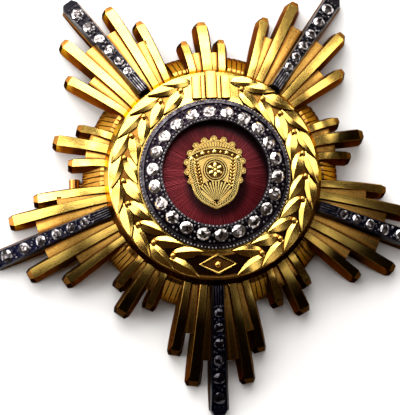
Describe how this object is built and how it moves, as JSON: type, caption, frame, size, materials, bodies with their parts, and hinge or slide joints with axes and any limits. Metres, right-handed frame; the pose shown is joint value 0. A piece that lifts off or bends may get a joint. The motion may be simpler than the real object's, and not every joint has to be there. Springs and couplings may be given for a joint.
{
  "type": "order insignia, breast star",
  "caption": "Five-pointed breast star with rayed gold and stone-set dark silver points, a laurel collar, a stone-set ring and a red enamel disc with a raised gold emblem.",
  "frame": {"origin": "on the star's axis, in the plane that the ends of the backing strips rest on, where the pin meets the garment", "axes": "+Z out of the front, towards the viewer; +Y up as worn, between the two upper silver points; +X to the viewer's right"},
  "size_m": [0.0804, 0.0765, 0.0141],
  "materials": {
    "ray_gold": "satin",
    "collar_gold": "satin",
    "emblem_gold": "polished",
    "pin_gold": "satin",
    "oxidised_silver": "oxidised",
    "ring_silver": "oxidised",
    "stone": "polished",
    "enamel": "glossy"
  },
  "bodies": {
    "root": {"gold_star": "ray_gold", "laurel_collar": "collar_gold", "silver_ray_1": "oxidised_silver", "silver_ray_2": "oxidised_silver", "silver_ray_3": "oxidised_silver", "silver_ray_4": "oxidised_silver", "silver_ray_5": "oxidised_silver", "ray_stones_1": "stone", "ray_stones_2": "stone", "ray_stones_3": "stone", "ray_stones_4": "stone", "ray_stones_5": "stone", "stone_ring": "ring_silver", "ring_stone_01": "stone", "ring_stone_02": "stone", "ring_stone_03": "stone", "ring_stone_04": "stone", "ring_stone_05": "stone", "ring_stone_06": "stone", "ring_stone_07": "stone", "ring_stone_08": "stone", "ring_stone_09": "stone", "ring_stone_10": "stone", "ring_stone_11": "stone", "ring_stone_12": "stone", "ring_stone_13": "stone", "ring_stone_14": "stone", "ring_stone_15": "stone", "ring_stone_16": "stone", "ring_stone_17": "stone", "ring_stone_18": "stone", "ring_stone_19": "stone", "ring_stone_20": "stone", "ring_stone_21": "stone", "ring_stone_22": "stone", "enamel_disc": "enamel", "emblem": "emblem_gold", "brooch_pin": "pin_gold"}
  },
  "joints": []
}
